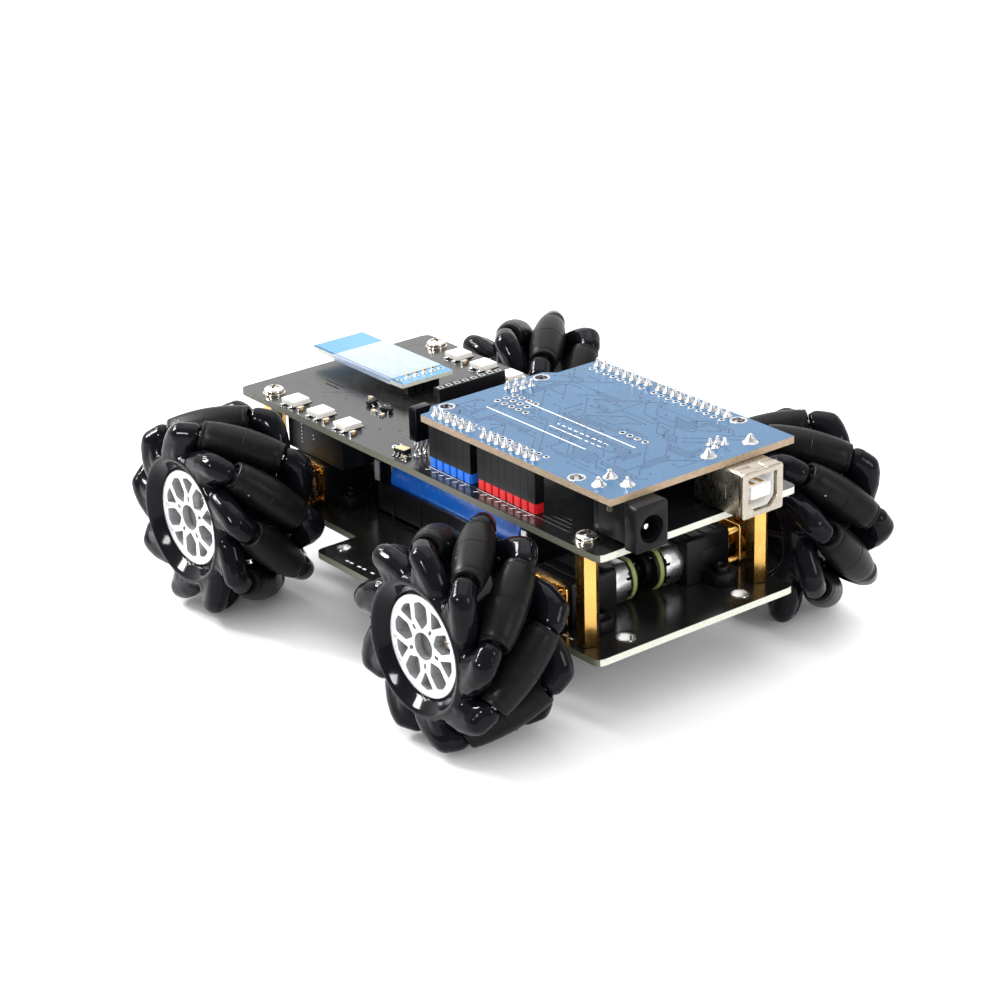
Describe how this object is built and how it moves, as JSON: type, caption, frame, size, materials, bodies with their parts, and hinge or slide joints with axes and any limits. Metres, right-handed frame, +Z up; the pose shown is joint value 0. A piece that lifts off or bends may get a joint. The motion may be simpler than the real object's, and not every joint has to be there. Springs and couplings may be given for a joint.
{
  "type": "mecanum wheel robot",
  "caption": "Small four-wheel robot base with slanted-roller wheels, two circuit-board decks on brass standoffs, gearmotors, a battery holder and a plug-on controller.",
  "frame": {"origin": "on the ground under the middle of the robot's bounding box", "axes": "+X towards the controller's USB socket, +Y to the robot's left when it drives along +X, +Z up"},
  "size_m": [0.1466, 0.123, 0.0584],
  "materials": {
    "black_plastic": "glossy moulded black plastic",
    "roller_rubber": "matt black rubber with a faint sheen",
    "silver_hub": "bright silver paint, smooth on the raised spokes and grainy in the pockets",
    "brass": "bright brass, slightly tarnished",
    "black_board": "black solder mask with a soft gloss",
    "blue_board": "blue solder mask over copper traces",
    "blue_wrap": "glossy blue shrink wrap",
    "steel": "plated steel",
    "motor_steel": "plated steel can with brass gearbox plates and a black bracket"
  },
  "bodies": {
    "chassis": {"lower_plate": "black_board", "upper_board": "black_board", "controller_board": "blue_board", "usb_socket": "steel", "wireless_module": "blue_board", "battery_holder": "black_plastic", "battery_cell_right": "blue_wrap", "battery_cell_left": "blue_wrap", "standoff_front_right": "brass", "standoff_front_left": "brass", "standoff_rear_right": "brass", "standoff_rear_left": "brass", "gearmotor_front_right": "motor_steel", "gearmotor_front_left": "motor_steel", "gearmotor_rear_right": "motor_steel", "gearmotor_rear_left": "motor_steel"},
    "wheel_front_right": {"wheel_frame_front_right": "black_plastic", "wheel_hub_front_right": "silver_hub"},
    "roller_front_right_1_body": {"roller_front_right_1": "roller_rubber"},
    "roller_front_right_2_body": {"roller_front_right_2": "roller_rubber"},
    "roller_front_right_3_body": {"roller_front_right_3": "roller_rubber"},
    "roller_front_right_4_body": {"roller_front_right_4": "roller_rubber"},
    "roller_front_right_5_body": {"roller_front_right_5": "roller_rubber"},
    "roller_front_right_6_body": {"roller_front_right_6": "roller_rubber"},
    "roller_front_right_7_body": {"roller_front_right_7": "roller_rubber"},
    "roller_front_right_8_body": {"roller_front_right_8": "roller_rubber"},
    "roller_front_right_9_body": {"roller_front_right_9": "roller_rubber"},
    "wheel_rear_right": {"wheel_frame_rear_right": "black_plastic", "wheel_hub_rear_right": "silver_hub"},
    "roller_rear_right_1_body": {"roller_rear_right_1": "roller_rubber"},
    "roller_rear_right_2_body": {"roller_rear_right_2": "roller_rubber"},
    "roller_rear_right_3_body": {"roller_rear_right_3": "roller_rubber"},
    "roller_rear_right_4_body": {"roller_rear_right_4": "roller_rubber"},
    "roller_rear_right_5_body": {"roller_rear_right_5": "roller_rubber"},
    "roller_rear_right_6_body": {"roller_rear_right_6": "roller_rubber"},
    "roller_rear_right_7_body": {"roller_rear_right_7": "roller_rubber"},
    "roller_rear_right_8_body": {"roller_rear_right_8": "roller_rubber"},
    "roller_rear_right_9_body": {"roller_rear_right_9": "roller_rubber"},
    "wheel_front_left": {"wheel_frame_front_left": "black_plastic", "wheel_hub_front_left": "silver_hub"},
    "roller_front_left_1_body": {"roller_front_left_1": "roller_rubber"},
    "roller_front_left_2_body": {"roller_front_left_2": "roller_rubber"},
    "roller_front_left_3_body": {"roller_front_left_3": "roller_rubber"},
    "roller_front_left_4_body": {"roller_front_left_4": "roller_rubber"},
    "roller_front_left_5_body": {"roller_front_left_5": "roller_rubber"},
    "roller_front_left_6_body": {"roller_front_left_6": "roller_rubber"},
    "roller_front_left_7_body": {"roller_front_left_7": "roller_rubber"},
    "roller_front_left_8_body": {"roller_front_left_8": "roller_rubber"},
    "roller_front_left_9_body": {"roller_front_left_9": "roller_rubber"},
    "wheel_rear_left": {"wheel_frame_rear_left": "black_plastic", "wheel_hub_rear_left": "silver_hub"},
    "roller_rear_left_1_body": {"roller_rear_left_1": "roller_rubber"},
    "roller_rear_left_2_body": {"roller_rear_left_2": "roller_rubber"},
    "roller_rear_left_3_body": {"roller_rear_left_3": "roller_rubber"},
    "roller_rear_left_4_body": {"roller_rear_left_4": "roller_rubber"},
    "roller_rear_left_5_body": {"roller_rear_left_5": "roller_rubber"},
    "roller_rear_left_6_body": {"roller_rear_left_6": "roller_rubber"},
    "roller_rear_left_7_body": {"roller_rear_left_7": "roller_rubber"},
    "roller_rear_left_8_body": {"roller_rear_left_8": "roller_rubber"},
    "roller_rear_left_9_body": {"roller_rear_left_9": "roller_rubber"}
  },
  "joints": [
    {"name": "wheel_front_right_spin", "type": "hinge", "parent": "chassis", "child": "wheel_front_right", "pos_m": [0.0435, -0.0481, 0.0242], "axis": [0, 1, 0], "continuous": true},
    {"name": "roller_front_right_1_spin", "type": "hinge", "parent": "wheel_front_right", "child": "roller_front_right_1_body", "pos_m": [0.05934, -0.0481, 0.03592], "axis": [0.4206, -0.7071, -0.5684], "continuous": true},
    {"name": "roller_front_right_2_spin", "type": "hinge", "parent": "wheel_front_right", "child": "roller_front_right_2_body", "pos_m": [0.0481, -0.0481, 0.04336], "axis": [0.6876, -0.7071, -0.1651], "continuous": true},
    {"name": "roller_front_right_3_spin", "type": "hinge", "parent": "wheel_front_right", "child": "roller_front_right_3_body", "pos_m": [0.03471, -0.0481, 0.04183], "axis": [0.6328, -0.7071, 0.3155], "continuous": true},
    {"name": "roller_front_right_4_spin", "type": "hinge", "parent": "wheel_front_right", "child": "roller_front_right_4_body", "pos_m": [0.02543, -0.0481, 0.03206], "axis": [0.282, -0.7071, 0.6485], "continuous": true},
    {"name": "roller_front_right_5_spin", "type": "hinge", "parent": "wheel_front_right", "child": "roller_front_right_5_body", "pos_m": [0.02461, -0.0481, 0.0186], "axis": [-0.2008, -0.7071, 0.678], "continuous": true},
    {"name": "roller_front_right_6_spin", "type": "hinge", "parent": "wheel_front_right", "child": "roller_front_right_6_body", "pos_m": [0.03263, -0.0481, 0.00777], "axis": [-0.5896, -0.7071, 0.3903], "continuous": true},
    {"name": "roller_front_right_7_spin", "type": "hinge", "parent": "wheel_front_right", "child": "roller_front_right_7_body", "pos_m": [0.04573, -0.0481, 0.00463], "axis": [-0.7026, -0.7071, -0.08], "continuous": true},
    {"name": "roller_front_right_8_spin", "type": "hinge", "parent": "wheel_front_right", "child": "roller_front_right_8_body", "pos_m": [0.05779, -0.0481, 0.01064], "axis": [-0.4867, -0.7071, -0.5129], "continuous": true},
    {"name": "roller_front_right_9_spin", "type": "hinge", "parent": "wheel_front_right", "child": "roller_front_right_9_body", "pos_m": [0.06316, -0.0481, 0.023], "axis": [-0.0432, -0.7071, -0.7058], "continuous": true},
    {"name": "wheel_rear_right_spin", "type": "hinge", "parent": "chassis", "child": "wheel_rear_right", "pos_m": [-0.0489, -0.0481, 0.0242], "axis": [0, 1, 0], "continuous": true},
    {"name": "roller_rear_right_1_spin", "type": "hinge", "parent": "wheel_rear_right", "child": "roller_rear_right_1_body", "pos_m": [-0.02987, -0.0481, 0.0191], "axis": [0.183, -0.7071, 0.683], "continuous": true},
    {"name": "roller_rear_right_2_spin", "type": "hinge", "parent": "wheel_rear_right", "child": "roller_rear_right_2_body", "pos_m": [-0.03105, -0.0481, 0.03253], "axis": [-0.2988, -0.7071, 0.6409], "continuous": true},
    {"name": "roller_rear_right_3_spin", "type": "hinge", "parent": "wheel_rear_right", "child": "roller_rear_right_3_body", "pos_m": [-0.04057, -0.0481, 0.04205], "axis": [-0.6409, -0.7071, 0.2988], "continuous": true},
    {"name": "roller_rear_right_4_spin", "type": "hinge", "parent": "wheel_rear_right", "child": "roller_rear_right_4_body", "pos_m": [-0.054, -0.0481, 0.04323], "axis": [-0.683, -0.7071, -0.183], "continuous": true},
    {"name": "roller_rear_right_5_spin", "type": "hinge", "parent": "wheel_rear_right", "child": "roller_rear_right_5_body", "pos_m": [-0.06504, -0.0481, 0.0355], "axis": [-0.4056, -0.7071, -0.5792], "continuous": true},
    {"name": "roller_rear_right_6_spin", "type": "hinge", "parent": "wheel_rear_right", "child": "roller_rear_right_6_body", "pos_m": [-0.06853, -0.0481, 0.02248], "axis": [0.0616, -0.7071, -0.7044], "continuous": true},
    {"name": "roller_rear_right_7_spin", "type": "hinge", "parent": "wheel_rear_right", "child": "roller_rear_right_7_body", "pos_m": [-0.06283, -0.0481, 0.01027], "axis": [0.5, -0.7071, -0.5], "continuous": true},
    {"name": "roller_rear_right_8_spin", "type": "hinge", "parent": "wheel_rear_right", "child": "roller_rear_right_8_body", "pos_m": [-0.05062, -0.0481, 0.00458], "axis": [0.7044, -0.7071, -0.0616], "continuous": true},
    {"name": "roller_rear_right_9_spin", "type": "hinge", "parent": "wheel_rear_right", "child": "roller_rear_right_9_body", "pos_m": [-0.0376, -0.0481, 0.00806], "axis": [0.5792, -0.7071, 0.4056], "continuous": true},
    {"name": "wheel_front_left_spin", "type": "hinge", "parent": "chassis", "child": "wheel_front_left", "pos_m": [0.0435, 0.0481, 0.0242], "axis": [0, 1, 0], "continuous": true},
    {"name": "roller_front_left_1_spin", "type": "hinge", "parent": "wheel_front_left", "child": "roller_front_left_1_body", "pos_m": [0.06056, 0.0481, 0.03405], "axis": [0.3536, 0.7071, -0.6124], "continuous": true},
    {"name": "roller_front_left_2_spin", "type": "hinge", "parent": "wheel_front_left", "child": "roller_front_left_2_body", "pos_m": [0.0629, 0.0481, 0.02078], "axis": [-0.1228, 0.7071, -0.6964], "continuous": true},
    {"name": "roller_front_left_3_spin", "type": "hinge", "parent": "wheel_front_left", "child": "roller_front_left_3_body", "pos_m": [0.05616, 0.0481, 0.00911], "axis": [-0.5417, 0.7071, -0.4545], "continuous": true},
    {"name": "roller_front_left_4_spin", "type": "hinge", "parent": "wheel_front_left", "child": "roller_front_left_4_body", "pos_m": [0.0435, 0.0481, 0.0045], "axis": [-0.7071, 0.7071, 0], "continuous": true},
    {"name": "roller_front_left_5_spin", "type": "hinge", "parent": "wheel_front_left", "child": "roller_front_left_5_body", "pos_m": [0.03084, 0.0481, 0.00911], "axis": [-0.5417, 0.7071, 0.4545], "continuous": true},
    {"name": "roller_front_left_6_spin", "type": "hinge", "parent": "wheel_front_left", "child": "roller_front_left_6_body", "pos_m": [0.0241, 0.0481, 0.02078], "axis": [-0.1228, 0.7071, 0.6964], "continuous": true},
    {"name": "roller_front_left_7_spin", "type": "hinge", "parent": "wheel_front_left", "child": "roller_front_left_7_body", "pos_m": [0.02644, 0.0481, 0.03405], "axis": [0.3536, 0.7071, 0.6124], "continuous": true},
    {"name": "roller_front_left_8_spin", "type": "hinge", "parent": "wheel_front_left", "child": "roller_front_left_8_body", "pos_m": [0.03676, 0.0481, 0.04271], "axis": [0.6645, 0.7071, 0.2418], "continuous": true},
    {"name": "roller_front_left_9_spin", "type": "hinge", "parent": "wheel_front_left", "child": "roller_front_left_9_body", "pos_m": [0.05024, 0.0481, 0.04271], "axis": [0.6645, 0.7071, -0.2418], "continuous": true},
    {"name": "wheel_rear_left_spin", "type": "hinge", "parent": "chassis", "child": "wheel_rear_left", "pos_m": [-0.0489, 0.0481, 0.0242], "axis": [0, 1, 0], "continuous": true},
    {"name": "roller_rear_left_1_spin", "type": "hinge", "parent": "wheel_rear_left", "child": "roller_rear_left_1_body", "pos_m": [-0.03306, 0.0481, 0.03592], "axis": [-0.4206, 0.7071, 0.5684], "continuous": true},
    {"name": "roller_rear_left_2_spin", "type": "hinge", "parent": "wheel_rear_left", "child": "roller_rear_left_2_body", "pos_m": [-0.02924, 0.0481, 0.023], "axis": [0.0432, 0.7071, 0.7058], "continuous": true},
    {"name": "roller_rear_left_3_spin", "type": "hinge", "parent": "wheel_rear_left", "child": "roller_rear_left_3_body", "pos_m": [-0.03461, 0.0481, 0.01064], "axis": [0.4867, 0.7071, 0.5129], "continuous": true},
    {"name": "roller_rear_left_4_spin", "type": "hinge", "parent": "wheel_rear_left", "child": "roller_rear_left_4_body", "pos_m": [-0.04667, 0.0481, 0.00463], "axis": [0.7026, 0.7071, 0.08], "continuous": true},
    {"name": "roller_rear_left_5_spin", "type": "hinge", "parent": "wheel_rear_left", "child": "roller_rear_left_5_body", "pos_m": [-0.05977, 0.0481, 0.00777], "axis": [0.5896, 0.7071, -0.3903], "continuous": true},
    {"name": "roller_rear_left_6_spin", "type": "hinge", "parent": "wheel_rear_left", "child": "roller_rear_left_6_body", "pos_m": [-0.06779, 0.0481, 0.0186], "axis": [0.2008, 0.7071, -0.678], "continuous": true},
    {"name": "roller_rear_left_7_spin", "type": "hinge", "parent": "wheel_rear_left", "child": "roller_rear_left_7_body", "pos_m": [-0.06697, 0.0481, 0.03206], "axis": [-0.282, 0.7071, -0.6485], "continuous": true},
    {"name": "roller_rear_left_8_spin", "type": "hinge", "parent": "wheel_rear_left", "child": "roller_rear_left_8_body", "pos_m": [-0.05769, 0.0481, 0.04183], "axis": [-0.6328, 0.7071, -0.3155], "continuous": true},
    {"name": "roller_rear_left_9_spin", "type": "hinge", "parent": "wheel_rear_left", "child": "roller_rear_left_9_body", "pos_m": [-0.0443, 0.0481, 0.04336], "axis": [-0.6876, 0.7071, 0.1651], "continuous": true}
  ]
}
